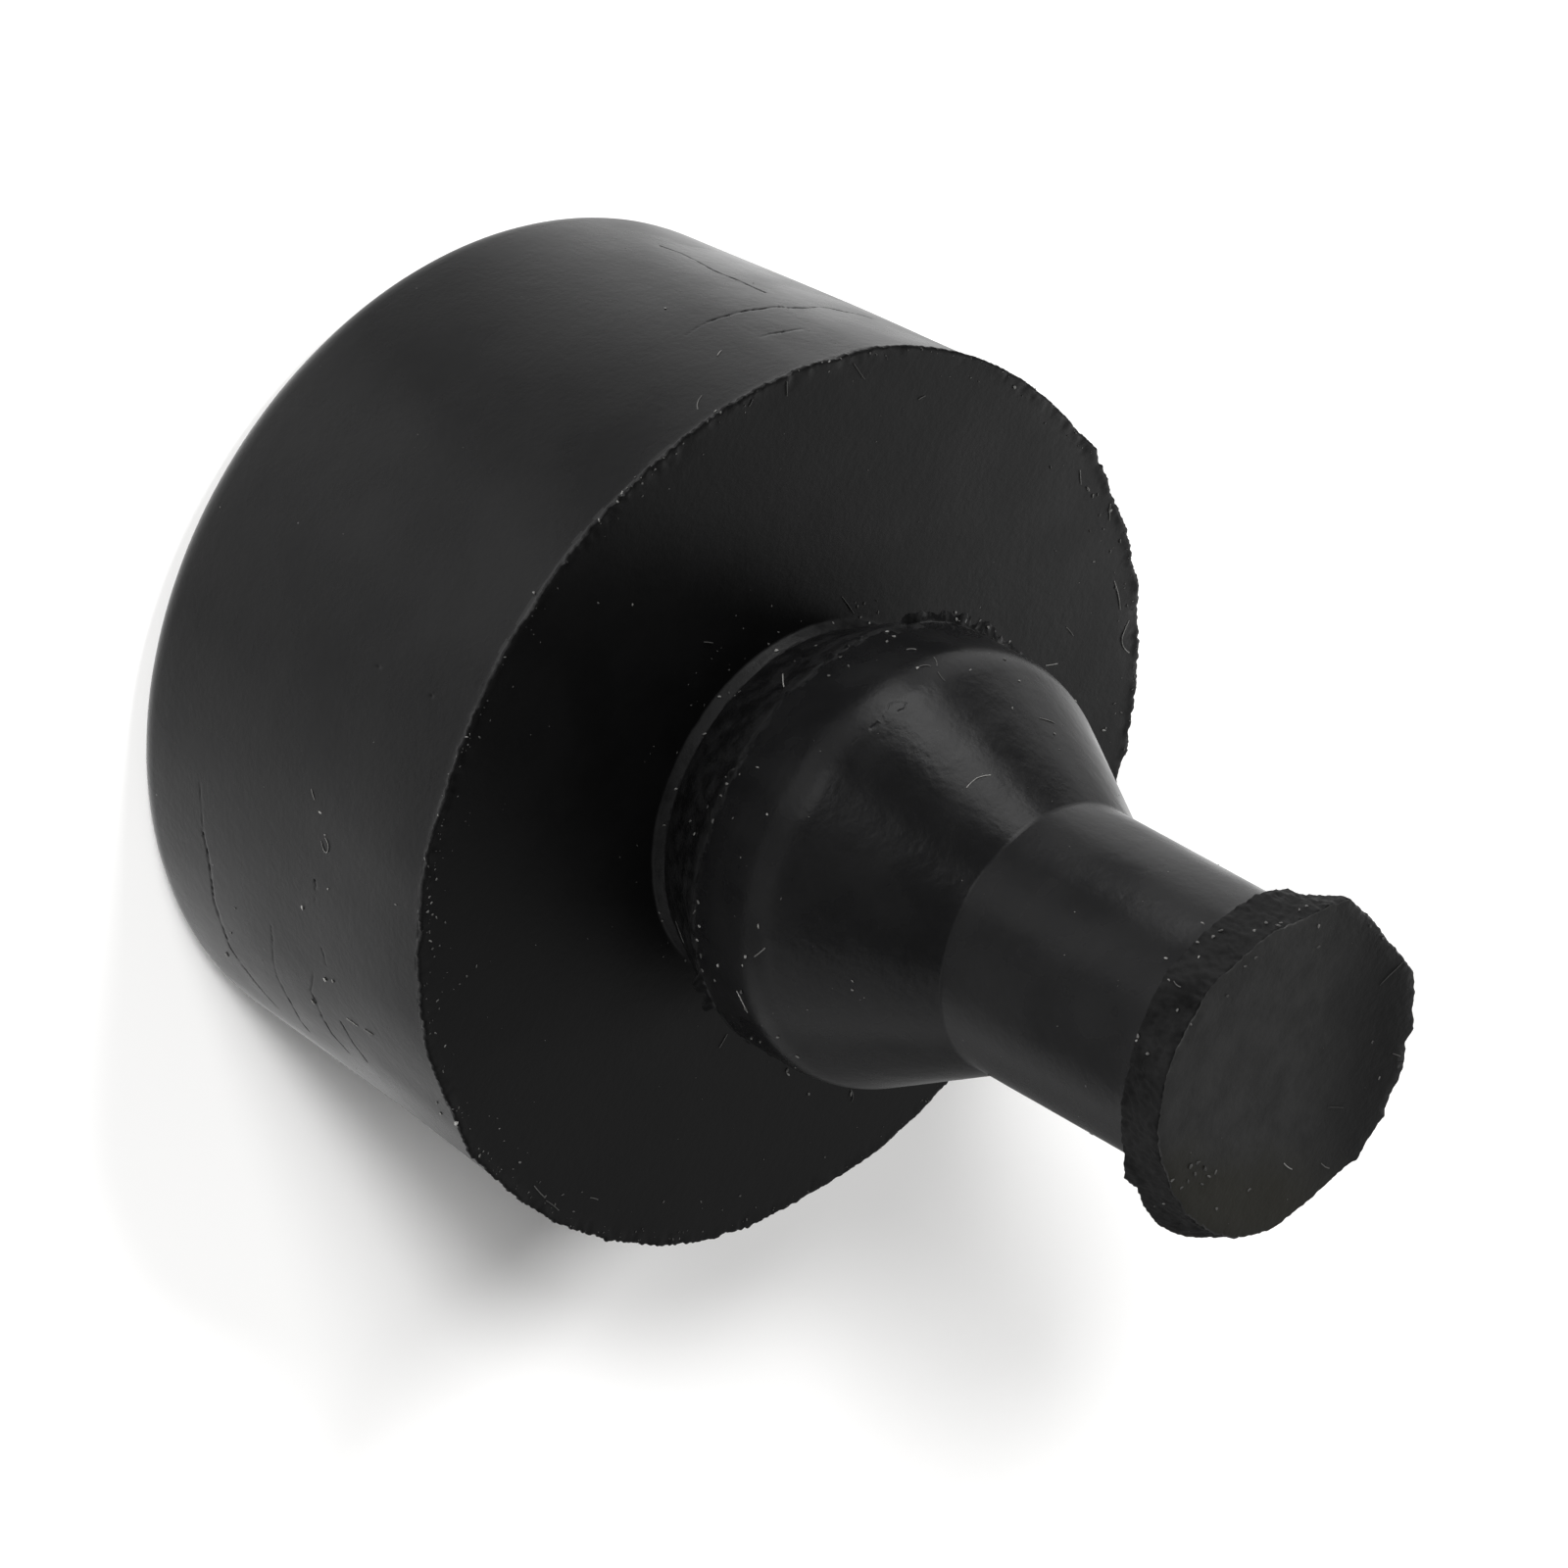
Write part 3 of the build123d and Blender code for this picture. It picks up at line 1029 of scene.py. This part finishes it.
# Crumbs, lint and dust that cling to the rubber
lintMarks = {
    # crumbs as (x, y, size) in pixels of the photograph; the pale ones along the rim also paint its
    # glints, a painted highlight
    "crumbs": [
        (850, 636, 4), (833, 659, 4), (792, 664, 6), (784, 657, 4), (794, 645, 4), (811, 675, 4),
        (755, 706, 4), (750, 710, 3), (744, 707, 3), (734, 711, 5), (719, 749, 5), (690, 805, 5),
        (678, 842, 4), (878, 630, 4), (887, 636, 5), (875, 619, 4), (882, 616, 4), (896, 625, 4),
        (676, 939, 5), (673, 931, 4), (773, 783, 4), (783, 831, 4), (748, 835, 3), (755, 790, 3),
        (741, 793, 3), (709, 851, 5), (714, 945, 5), (712, 959, 5), (717, 990, 4), (699, 980, 4),
        (733, 985, 6), (761, 976, 6), (758, 985, 4), (774, 945, 5), (797, 917, 3), (767, 1059, 5),
        (776, 1063, 5), (794, 1058, 5), (814, 1078, 5), (812, 1089, 4), (804, 1096, 6),
        (825, 1116, 5), (868, 1116, 6), (905, 645, 5), (912, 650, 5), (976, 632, 5), (1000, 633, 4),
        (936, 682, 5), (990, 684, 4), (1025, 673, 4), (1040, 695, 4), (1033, 723, 4),
        (1076, 749, 4), (1081, 765, 3), (1137, 718, 4), (1144, 727, 4), (1126, 745, 6),
        (975, 625, 5), (1008, 640, 5), (1030, 655, 4), (870, 1001, 4), (870, 1010, 4),
        (824, 1030, 3), (530, 1186, 5), (677, 1226, 4), (715, 1226, 4), (755, 1220, 4),
        (1133, 521, 6), (1035, 395, 6), (1110, 499, 7), (1115, 506, 5), (1072, 477, 4),
        (1122, 526, 4), (1116, 573, 4), (1077, 562, 3), (1143, 552, 5), (1133, 563, 4),
        (1112, 542, 4), (610, 615, 4), (645, 617, 4), (545, 605, 5), (635, 503, 5), (730, 420, 5),
        (327, 829, 5), (332, 852, 4), (335, 907, 4), (309, 926, 6), (404, 923, 4), (236, 952, 4),
        (232, 974, 7), (240, 927, 4), (320, 1022, 7), (332, 999, 7), (340, 1001, 5), (450, 1136, 5),
        (466, 1146, 8), (446, 1125, 4), (489, 1179, 5), (679, 315, 4), (445, 897, 4), (438, 915, 4),
        (454, 941, 4), (436, 930, 5), (441, 933, 4), (445, 936, 4), (439, 960, 5), (486, 986, 4),
        (476, 996, 4), (469, 1004, 3), (444, 1054, 4), (454, 1067, 4), (1241, 1233, 5),
        (1400, 1063, 4), (1407, 1100, 4), (1345, 945, 6), (1190, 978, 5), (434, 876, 4),
        (437, 884, 3), (440, 921, 4), (436, 906, 3), (438, 951, 4), (441, 968, 4), (443, 976, 3),
        (446, 1021, 4), (448, 1029, 3), (441, 1041, 3), (452, 1093, 4), (556, 1221, 4),
        (566, 1229, 4), (574, 1219, 4), (585, 1236, 4), (500, 735, 3), (494, 722, 3), (489, 752, 4),
        (476, 752, 4), (466, 772, 3), (458, 790, 3), (452, 812, 3), (447, 832, 3), (630, 512, 4),
        (655, 493, 4), (668, 479, 4), (640, 498, 3), (690, 463, 3), (648, 487, 3), (611, 531, 4),
        (735, 421, 4), (722, 430, 3), (760, 414, 3), (846, 369, 4), (858, 366, 3), (905, 366, 3),
        (1043, 404, 3), (1120, 505, 4), (1126, 540, 4), (1131, 520, 3), (1138, 600, 4),
        (1150, 618, 4), (1148, 640, 3), (1128, 743, 4), (1223, 977, 5), (1193, 1000, 4),
        (1215, 1045, 4), (1227, 942, 4), (1307, 942, 4), (1160, 1062, 4), (1188, 1228, 4),
    ],
    # faint lumps of the rubber itself, in the same way
    "lumps": [
        (1214, 1190, 6), (1222, 1186, 5), (1229, 1192, 6), (1219, 1198, 5), (1233, 1200, 5),
        (1212, 1205, 4), (1196, 1204, 4), (1205, 1212, 4), (1240, 1196, 4), (1226, 1208, 4),
        (1345, 966, 4), (1304, 945, 5), (1292, 942, 4), (1280, 950, 4), (1246, 950, 5),
        (1238, 956, 4), (1222, 962, 4), (1162, 1057, 5), (1171, 1075, 4), (1202, 1031, 4),
        (1270, 986, 4), (1281, 977, 4), (1252, 1016, 4), (1333, 925, 4), (1326, 929, 4),
        (1398, 945, 4), (1411, 957, 4), (1274, 1214, 4), (905, 655, 4), (866, 680, 4),
        (858, 671, 4), (846, 690, 4), (742, 800, 4), (736, 812, 4), (728, 838, 5), (705, 838, 4),
        (713, 920, 5), (709, 930, 5), (716, 975, 5), (730, 1000, 4), (757, 1012, 5), (762, 1030, 5),
        (803, 1092, 5),
    ],
    # fibres as the pixels that they lie along
    "fibres": [
        [(859, 609), (866, 618), (871, 626)], [(770, 976), (776, 972), (781, 967)],
        [(742, 1055), (738, 1062), (734, 1069)], [(925, 663), (930, 662), (935, 663)],
        [(1061, 733), (1069, 735), (1076, 738)], [(1088, 640), (1092, 644), (1095, 649)],
        [(830, 1100), (832, 1107), (838, 1108), (840, 1101)], [(716, 404), (710, 411), (712, 418)],
        [(803, 389), (803, 397), (803, 404)], [(764, 415), (767, 411), (768, 407)],
        [(871, 371), (876, 379), (882, 387)], [(937, 408), (940, 405), (944, 404)],
        [(736, 358), (734, 360), (732, 363)], [(318, 805), (319, 810), (321, 816)],
        [(328, 858), (330, 868), (335, 871), (336, 860), (332, 855)],
        [(354, 1039), (360, 1043), (365, 1047)], [(372, 1050), (377, 1053), (381, 1056)],
        [(602, 1222), (606, 1222), (610, 1224)], [(545, 1210), (550, 1217), (556, 1222)],
        [(557, 1225), (564, 1229), (570, 1235)], [(1348, 1187), (1351, 1191), (1356, 1192)],
        [(1421, 1075), (1425, 1076), (1429, 1078)], [(868, 1112), (872, 1118), (869, 1124)],
        [(690, 940), (694, 950), (698, 962)],
    ],
    # fibres and scratches that hardly show
    "faintFibres": [
        [(718, 655), (723, 655), (727, 656)], [(957, 686), (959, 691), (964, 695)],
        [(950, 680), (944, 678), (937, 681)], [(953, 671), (956, 675), (956, 680)],
        [(1198, 1001), (1201, 1007), (1205, 1007)],
        [(1408, 1005), (1416, 996), (1425, 988), (1433, 980)],
        [(1354, 1130), (1362, 1129), (1370, 1130), (1387, 1132)],
    ],
    # the palest fibres
    "paleFibres": [
        [(1137, 593), (1140, 602), (1142, 612), (1143, 622)],
        [(1152, 633), (1146, 645), (1144, 654), (1147, 663), (1152, 666)],
        [(986, 804), (992, 797), (1001, 792), (1011, 791)], [(1133, 514), (1132, 522), (1132, 531)],
        [(1102, 480), (1102, 487), (1103, 494)], [(799, 688), (799, 695), (800, 701)],
        [(1067, 679), (1073, 678), (1079, 677)], [(752, 1011), (757, 1020), (763, 1033)],
        [(1310, 1187), (1313, 1191), (1318, 1193)],
    ],
    "dustOnSides": 150,
    "dustOnTops": 110,
    "looseFibres": 14,
    "fibreRadius": 0.011,  # mm
    "paleBySize": [0.18, 0.28, 0.37, 0.45, 0.5, 0.55],  # by size in pixels, from 3 to 8
    # seeded lint that hangs on the torn edges, as
    # (least and most radius in mm, height to drop from, crumbs, fibres)
    "edges": [
        (9.3, 9.9, 12.0, 90, 22), (9.88, 10.1, 12.0, 210, 26), (4.02, 4.6, 10.95, 30, 10),
        (4.86, 5.0, 12.9, 22, 8),
    ],
    "crumbScale": 0.85,  # sizes in pixels are across the crumb and its glow
    "lumpScale": 1.1,
    "middleOff": 0.14,  # how far a crumb's middle stands off the rubber, as a share of its size
    "fibreGap": 0.45,  # mm between two points of a fibre that has left its surface
    "fibreLift": (0.6, 1.6),  # of its ends and of its middle, in radii
    # a loose fibre, with angles in radians and lengths in mm
    "loose": {"bend": 0.25, "pace": (0.04, 0.13), "steps": (3, 7), "lift": 0.02, "wobble": 0.45},
    # where loose dust may lie, and how far off it is dropped from, in mm
    "dust": {"heights": (0.5, 23.1), "headTop": 10.4, "reach": 9.8, "beside": 20, "above": 40},
    "headShare": 0.9,  # the head is a little cleaner
    "lumpUneven": (0.7, 1.25),
    "topFacing": 0.8,  # how much a surface points up where it counts as a top
    "seenWithin": 0.1,  # mm
    # the lumps that the crumbs are copied from, as (stretch, seed)
    "lumpShapes": [((1, 0.6, 0.5), 3), ((1.1, 0.4, 0.4), 5), ((0.9, 0.75, 0.4), 8)],
    # sizes in mm, the least and the most
    "edgeSize": (0.02, 0.055),
    "seenSize": (0.018, 0.034),
    "farSize": (0.03, 0.085),
    # how pale each kind is, the least and the most
    "pale": {
        "crumbAndGlint": (0.6, 1.2), "lumpOnTop": (0.14, 0.24), "lumpOnSide": (0.06, 0.16),
        "fibre": (0.12, 0.3), "paleFibre": (0.4, 0.65), "faintFibre": (0.05, 0.1),
        "edgeCrumb": (0.06, 0.35), "edgeFibre": (0.1, 0.4), "dust": (0.06, 0.4),
        "looseFibre": (0.1, 0.35),
    },
    "seed": 41,
}
lintLook = {
    "dark": (0.01, 0.01, 0.01),
    "pale": (0.95, 0.94, 0.91),
    "grainScale": 30000.0,
    "mottle": (0.7, 1.3),
    "smooth": 0.6,
    "dull": 0.9,
    "bump": 0.4,
    "bumpDepth": 0.00001,  # metres
}


def rawCrumb(stretch, seed):
    # one rough lump about a millimetre across, to be copied small
    dice = random.Random(seed)
    startClean()
    bpy.ops.mesh.primitive_ico_sphere_add(subdivisions=1, radius=0.5 * mm, location=(0, 0, 0))
    lump = bpy.context.object
    bpy.ops.object.mode_set(mode="EDIT")
    bpy.ops.transform.resize(value=stretch)
    bpy.ops.object.mode_set(mode="OBJECT")
    for vertex in lump.data.vertices:
        vertex.co *= dice.uniform(*lintMarks["lumpUneven"])
    return lump


def setPale(piece, pale):
    # how pale a bit of lint is, kept on its own points
    values = piece.data.attributes.new("pale", "FLOAT", "POINT")
    for item in values.data:
        item.value = pale


def sitCopy(lump, place, normal, size, turn, pale):
    # a copy of a lump on the rubber, partly sunk into it
    copy = lump.copy()
    copy.data = lump.data.copy()
    bpy.context.collection.objects.link(copy)
    stand = normal.to_track_quat("Z", "X").to_matrix().to_4x4()
    spin = Matrix.Rotation(turn, 4, "Z")
    lift = Matrix.Translation(place + normal * (size * lintMarks["middleOff"] * mm))
    copy.data.transform(lift @ stand @ spin @ Matrix.Scale(size, 4))
    setPale(copy, pale)
    return copy


def layFibre(points, radius, pale):
    # a fibre is a thin tube with closed ends along its points
    startClean()
    bpy.ops.curve.primitive_nurbs_path_add(location=(0, 0, 0))
    path = bpy.context.object
    path.data.splines.clear()
    spline = path.data.splines.new("NURBS")
    spline.points.add(len(points) - 1)
    for point, place in zip(spline.points, points):
        point.co = (*place, 1)
    spline.order_u = 3
    spline.use_endpoint_u = True
    spline.resolution_u = 3
    path.data.bevel_depth = radius
    path.data.bevel_resolution = 0
    path.data.use_fill_caps = True
    bpy.ops.object.convert(target="MESH")
    setPale(bpy.context.object, pale)
    return bpy.context.object


def underPlace(body, turn, reach, height):
    # what is met straight below a place beside the axis
    start = Vector((math.cos(turn) * reach, math.sin(turn) * reach, height))
    found, place, normal, face = body.ray_cast(start, Vector((0, 0, -1)))
    return found, place, normal


def dustPlaces(body, sides, tops, dice):
    # seeded places all round the body, and on its upward faces
    places = []
    dust = lintMarks["dust"]
    while len(places) < sides:
        turn, height = dice.uniform(0, 2 * math.pi), dice.uniform(*dust["heights"]) * mm
        out = Vector((math.cos(turn), math.sin(turn), 0))
        start = out * (dust["beside"] * mm) + Vector((0, 0, height))
        found, place, normal, face = body.ray_cast(start, -out)
        if found and (height > dust["headTop"] * mm or dice.random() < lintMarks["headShare"]):
            places.append((place, normal))
    while len(places) < sides + tops:
        turn, reach = dice.uniform(0, 2 * math.pi), dust["reach"] * mm * math.sqrt(dice.random())
        found, place, normal = underPlace(body, turn, reach, dust["above"] * mm)
        if found:
            places.append((place, normal))
    return places


def dropPlaces(body, low, high, top, count, dice):
    # places under a ring-shaped band, found from a height above it
    places = []
    while len(places) < count:
        turn, reach = dice.uniform(0, 2 * math.pi), dice.uniform(low, high) * mm
        found, place, normal = underPlace(body, turn, reach, top * mm)
        if found and normal.z > 0.1:
            places.append((place, normal))
    return places


def seenFrom(eye, body, place):
    # whether nothing of the body stands between the eye and a place on it
    found, first, normal, face = body.ray_cast(eye, (place - eye).normalized())
    return found and (first - place).length < lintMarks["seenWithin"] * mm


def fibrePoints(body, line, radius):
    # places under a line of pixels, as far as they stay on one surface, the middle ones lifted
    points = []
    endLift, middleLift = lintMarks["fibreLift"]
    for index, pixel in enumerate(line):
        found = placeOn(body, pixel)
        if not found:
            break
        place, normal = found
        up = endLift if index in (0, len(line) - 1) else middleLift
        point = place + normal * (radius * up * mm)
        if points and (point - points[-1]).length > lintMarks["fibreGap"] * mm:
            break
        points.append(point)
    return points


def looseFibre(body, place, normal, dice):
    # a short curled fibre that follows the surface from a place
    side = normal.orthogonal().normalized()
    way = Matrix.Rotation(dice.uniform(0, anyTurn), 3, normal) @ side
    loose = lintMarks["loose"]
    bend = dice.uniform(-loose["bend"], loose["bend"])
    pace = dice.uniform(*loose["pace"])
    points = []
    for step in range(dice.randint(*loose["steps"])):
        found, near, facing, face = body.closest_point_on_mesh(place)
        points.append(near + facing * (loose["lift"] * mm))
        curl = bend + dice.uniform(-loose["wobble"], loose["wobble"])
        way = Matrix.Rotation(curl, 3, facing) @ way
        way = (way - facing * way.dot(facing)).normalized()
        place = near + way * (pace * mm)
    return points


def scatterLint(body, marks):
    dice = random.Random(marks["seed"])
    lumps = [rawCrumb(*shape) for shape in marks["lumpShapes"]]
    bits = []
    eye = camera.matrix_world.translation
    thread = marks["fibreRadius"] * mm
    tones = marks["pale"]

    def chosen(place, normal, size):
        # a lump is chosen first, then how it is turned
        return dice.choice(lumps), place, normal, size, dice.uniform(0, anyTurn)

    for x, y, size in marks["crumbs"]:
        found = placeOn(body, (x, y))
        if found:
            # pale crumbs, some of them painted glints along the rim
            pale = dice.uniform(*tones["crumbAndGlint"]) * marks["paleBySize"][min(size, 8) - 3]
            bits.append(sitCopy(*chosen(*found, size * marks["crumbScale"] / pixelsPerMm), pale))
    for x, y, size in marks["lumps"]:
        found = placeOn(body, (x, y))
        if found:
            onTop = found[1].z > marks["topFacing"]
            pale = dice.uniform(*tones["lumpOnTop" if onTop else "lumpOnSide"])
            bits.append(sitCopy(*chosen(*found, size * marks["lumpScale"] / pixelsPerMm), pale))
    for line in marks["faintFibres"] + marks["fibres"] + marks["paleFibres"]:
        points = fibrePoints(body, line, marks["fibreRadius"])
        if len(points) > 2:
            pale = dice.uniform(*tones["fibre"])
            if line in marks["paleFibres"]:
                pale = dice.uniform(*tones["paleFibre"])
            elif line in marks["faintFibres"]:
                pale = dice.uniform(*tones["faintFibre"])
            bits.append(layFibre(points, thread, pale))
    for low, high, top, crumbs, fibres in marks["edges"]:
        for place, normal in dropPlaces(body, low, high, top, crumbs, dice):
            size = dice.uniform(*marks["edgeSize"])
            bits.append(sitCopy(*chosen(place, normal, size), dice.uniform(*tones["edgeCrumb"])))
        for place, normal in dropPlaces(body, low, high, top, fibres, dice):
            # the photographed side has its own fibres
            if not seenFrom(eye, body, place):
                points = looseFibre(body, place, normal, dice)
                bits.append(layFibre(points, thread, dice.uniform(*tones["edgeFibre"])))
    for place, normal in dustPlaces(body, marks["dustOnSides"], marks["dustOnTops"], dice):
        # the photographed side has its own crumbs, so its loose dust is finer
        seen = normal.dot((eye - place).normalized()) > 0
        size = dice.uniform(*marks["seenSize" if seen else "farSize"])
        bits.append(sitCopy(*chosen(place, normal, size), dice.uniform(*tones["dust"])))
    for place, normal in dustPlaces(body, marks["looseFibres"] * 2, marks["looseFibres"], dice):
        if normal.dot((eye - place).normalized()) < 0.05:
            points = looseFibre(body, place, normal, dice)
            bits.append(layFibre(points, thread, dice.uniform(*tones["looseFibre"])))
    for lump in lumps:
        bpy.data.objects.remove(lump)
    startClean()
    for bit in bits:
        bit.select_set(True)
    bpy.context.view_layer.objects.active = bits[0]
    bpy.ops.object.join()
    lint = bpy.context.object
    lint.name = "lint_and_crumbs"
    print(len(bits), "crumbs and fibres laid")
    return lint


def lintMaterial(look):
    # grey-white lint, each bit as pale as its own points say, mottled
    material, tree, shader = newMaterial("paleLint")
    place = addNode(tree, "ShaderNodeTexCoord").outputs["Object"]
    pale = addNode(tree, "ShaderNodeAttribute", attribute_name="pale").outputs["Fac"]
    fine = noiseNode(tree, place, look["grainScale"], detail=2.0)
    pale = mathNode(tree, "MULTIPLY", pale, rangeNode(tree, fine, 0.25, 0.75, *look["mottle"]))
    tree.links.new(mixColours(tree, pale, look["dark"], look["pale"]), shader.inputs["Base Color"])
    gloss = rangeNode(tree, fine, 0.2, 0.8, look["smooth"], look["dull"])
    tree.links.new(gloss, shader.inputs["Roughness"])
    addBump(tree, shader, fine, look["bump"], look["bumpDepth"])
    return material


bpy.context.view_layer.update()
lint = scatterLint(bufferBody, lintMarks)
finishPiece(lint, [lintMaterial(lintLook)], lambda face: 0, 60)
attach(lint, "root")
print("lint laid")


# Floor and light
studio = {
    "floorSize": 2.4,
    "floorTone": (0.862, 0.858, 0.852),
    "floorDrop": 0.00004,  # metres below the striking face
    "floorRoughness": 0.9,
    "world": 0.2,
    "glow": 0.015,
    "sectorSoft": 12.0,  # degrees over which the dimmer sectors' sides fade
    # what the rubber mirrors of the floor, a glow that only glossy rays see and so a painted
    # reflection, as its tone at each azimuth in degrees from +X
    "mirrorTones": [
        (0, 0.72), (12, 0.82), (26, 0.41), (45, 0.2), (62, 0.2), (92, 0.6), (110, 1.5), (123, 0.92),
        (139, 0.75), (148, 1.2), (158, 1.2), (172, 1.45), (186, 1.35), (193, 1.08), (200, 1.2),
        (212, 1.05), (226, 0.76), (241, 0.78), (250, 1.25), (266, 1.38), (288, 1.1), (314, 1.3),
        (331, 1.1), (346, 0.74),
    ],
    # a painted bright strip in the mirrored floor, as its azimuths, where it starts in metres and its
    # tone
    "window": (199, 226, 0.032, 3.6),
    "windowSoft": 9.0,  # degrees over which its sides fade
    "windowRise": 0.008,  # metres over which it starts
    # sectors that are dimmer between some radii, as azimuths, four radii in metres
    # and the share of tone left
    "dimSides": [
        (268, 352, 0.018, 0.024, 0.06, 0.25, 0.48), (172, 238, 0.018, 0.024, 0.033, 0.042, 0.5),
    ],
}


def sectorNode(tree, turn, first, last, soft):
    # one between two azimuths and nothing elsewhere, with soft sides
    opening = rangeNode(tree, turn, first, first + soft)
    closing = rangeNode(tree, turn, last - soft, last, 1.0, 0.0)
    return mathNode(tree, "MULTIPLY", opening, closing)


def mirrorPattern(tree, look):
    # tone of the mirrored floor by direction and distance from the middle, a painted reflection
    place = addNode(tree, "ShaderNodeTexCoord").outputs["Object"]
    parts = addNode(tree, "ShaderNodeSeparateXYZ")
    tree.links.new(place, parts.inputs["Vector"])
    x, y = parts.outputs["X"], parts.outputs["Y"]
    awayX, awayY = mathNode(tree, "MULTIPLY", x, -1.0), mathNode(tree, "MULTIPLY", y, -1.0)
    back = mathNode(tree, "ARCTAN2", awayY, awayX)
    turn = mathNode(tree, "ADD", mathNode(tree, "DEGREES", back), 180.0)
    ramp = addNode(tree, "ShaderNodeValToRGB")
    stops = ramp.color_ramp.elements
    tones = look["mirrorTones"] + [(360, look["mirrorTones"][0][1])]
    while len(stops) < len(tones):
        stops.new(0.5)
    for stop, (azimuth, tone) in zip(stops, tones):
        stop.position = azimuth / 360
        stop.color = (tone / 2, tone / 2, tone / 2, 1)
    tree.links.new(mathNode(tree, "DIVIDE", turn, 360.0), ramp.inputs["Fac"])
    squares = mathNode(tree, "ADD", mathNode(tree, "MULTIPLY", x, x), mathNode(tree, "MULTIPLY", y, y))
    away = mathNode(tree, "SQRT", squares)
    first, last, start, tone = look["window"]
    strip = sectorNode(tree, turn, first, last, look["windowSoft"])
    rise = rangeNode(tree, away, start, start + look["windowRise"], 0.0, tone)
    strip = mathNode(tree, "MULTIPLY", strip, rise)
    tones = mathNode(tree, "MULTIPLY", ramp.outputs["Color"], 2.0)
    for first, last, near, dim, far, bright, left in look["dimSides"]:
        sector = sectorNode(tree, turn, first, last, look["sectorSoft"])
        sector = mathNode(tree, "MULTIPLY", sector, rangeNode(tree, away, near, dim))
        sector = mathNode(tree, "MULTIPLY", sector, rangeNode(tree, away, far, bright, 1 - left, 0.0))
        tones = mathNode(tree, "MULTIPLY", tones, mathNode(tree, "SUBTRACT", 1.0, sector))
    return mathNode(tree, "ADD", tones, strip)


def layFloor(look):
    startClean()
    bpy.ops.mesh.primitive_plane_add(size=look["floorSize"], location=(0, 0, 0))
    floor = bpy.context.object
    floor.name = "floor"
    bpy.ops.object.mode_set(mode="EDIT")
    bpy.ops.transform.translate(value=(0, 0, -look["floorDrop"]))
    bpy.ops.object.mode_set(mode="OBJECT")
    material, tree, shader = newMaterial("paleFloor")
    shader.inputs["Base Color"].default_value = look["floorTone"] + (1,)
    shader.inputs["Roughness"].default_value = look["floorRoughness"]
    shader.inputs["Specular IOR Level"].default_value = 0.0
    shader.inputs["Emission Color"].default_value = (1, 1, 1, 1)
    shader.inputs["Emission Strength"].default_value = look["glow"]
    # glossy rays see the floor glow with darker and brighter sides, as in the photographed room, a
    # painted reflection
    mirrored = addNode(tree, "ShaderNodeEmission")
    tree.links.new(mirrorPattern(tree, look), mirrored.inputs["Strength"])
    chooser = addNode(tree, "ShaderNodeMixShader")
    tree.links.new(addNode(tree, "ShaderNodeLightPath").outputs["Is Glossy Ray"], chooser.inputs["Fac"])
    tree.links.new(shader.outputs["BSDF"], chooser.inputs[1])
    tree.links.new(mirrored.outputs["Emission"], chooser.inputs[2])
    output = next(node for node in tree.nodes if node.type == "OUTPUT_MATERIAL")
    tree.links.new(chooser.outputs["Shader"], output.inputs["Surface"])
    material.cycles.emission_sampling = "NONE"
    floor.data.materials.append(material)
    floor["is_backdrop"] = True
    return floor


floor = layFloor(studio)
lightGroups = {
    "floor": bpy.data.collections.new("floorLit"),
    "buffer": bpy.data.collections.new("bufferLit"),
}
lightGroups["floor"].objects.link(floor)
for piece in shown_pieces():
    lightGroups["buffer"].objects.link(piece)

softLights = {
    # azimuth from +X, elevation, distance in metres, width, height and watts
    "streakBox": (206, 7.5, 0.3, 0.145, 0.145, 0.32),
    "shoulderBox": (262, 5, 0.25, 0.1, 0.1, 0.066),
    "tailSide": (357, 5, 0.3, 0.32, 0.1, 0.094),
    "seatLamp": (112.8, 17.3, 0.0411, 0.012, 0.012, 0.0019),
    "seatSky": (90, 40, 0.3, 0.25, 0.25, 0.045),
}
roundLights = ("streakBox", "shoulderBox")  # the others are square
softSuns = {
    # azimuth, elevation, how wide it is in degrees and how much it adds to the floor's tone
    "keySun": (253.3, 35.5, 9, 0.245),
    "sideSun": (207.1, 48.5, 14, 0.412),
    "lowSun": (251.8, 22, 32, 0.545),
}


lightsFace = (0, 0, 0.012)  # the barb's foot
sunDistance = 0.5


def aimed(azimuth, elevation, distance):
    # a place that far from the barb's foot, and the turn that faces it
    a, e = math.radians(azimuth), math.radians(elevation)
    middle = Vector(lightsFace)
    way = Vector((math.cos(a) * math.cos(e), math.sin(a) * math.cos(e), math.sin(e)))
    place = way * distance + middle
    return place, (middle - place).to_track_quat("-Z", "Y").to_euler()


def hangLight(name, azimuth, elevation, distance, width, height, watts):
    place, turn = aimed(azimuth, elevation, distance)
    startClean()
    bpy.ops.object.light_add(type="AREA", location=place, rotation=turn)
    light = bpy.context.object
    light.name = name
    light.data.shape = "ELLIPSE" if name in roundLights else "RECTANGLE"
    light.data.size = width
    light.data.size_y = height
    light.data.energy = watts
    light.visible_camera = False
    light.light_linking.receiver_collection = lightGroups["buffer"]


def hangSun(name, azimuth, elevation, wide, tone):
    place, turn = aimed(azimuth, elevation, sunDistance)
    startClean()
    bpy.ops.object.light_add(type="SUN", location=place, rotation=turn)
    sun = bpy.context.object
    sun.name = name
    sun.data.angle = math.radians(wide)
    sun.data.energy = tone * math.pi / studio["floorTone"][0] / math.sin(math.radians(elevation))
    sun.light_linking.receiver_collection = lightGroups["floor"]


for lightName, settings in softLights.items():
    hangLight(lightName, *settings)
for sunName, settings in softSuns.items():
    hangSun(sunName, *settings)

world = bpy.data.worlds.new("paleStudio")
world.use_nodes = True
bpy.context.scene.world = world
world.node_tree.nodes["Background"].inputs["Color"].default_value = (1, 1, 1, 1)
world.node_tree.nodes["Background"].inputs["Strength"].default_value = studio["world"]
bpy.context.scene.view_settings.view_transform = "Standard"
print("studio lit")
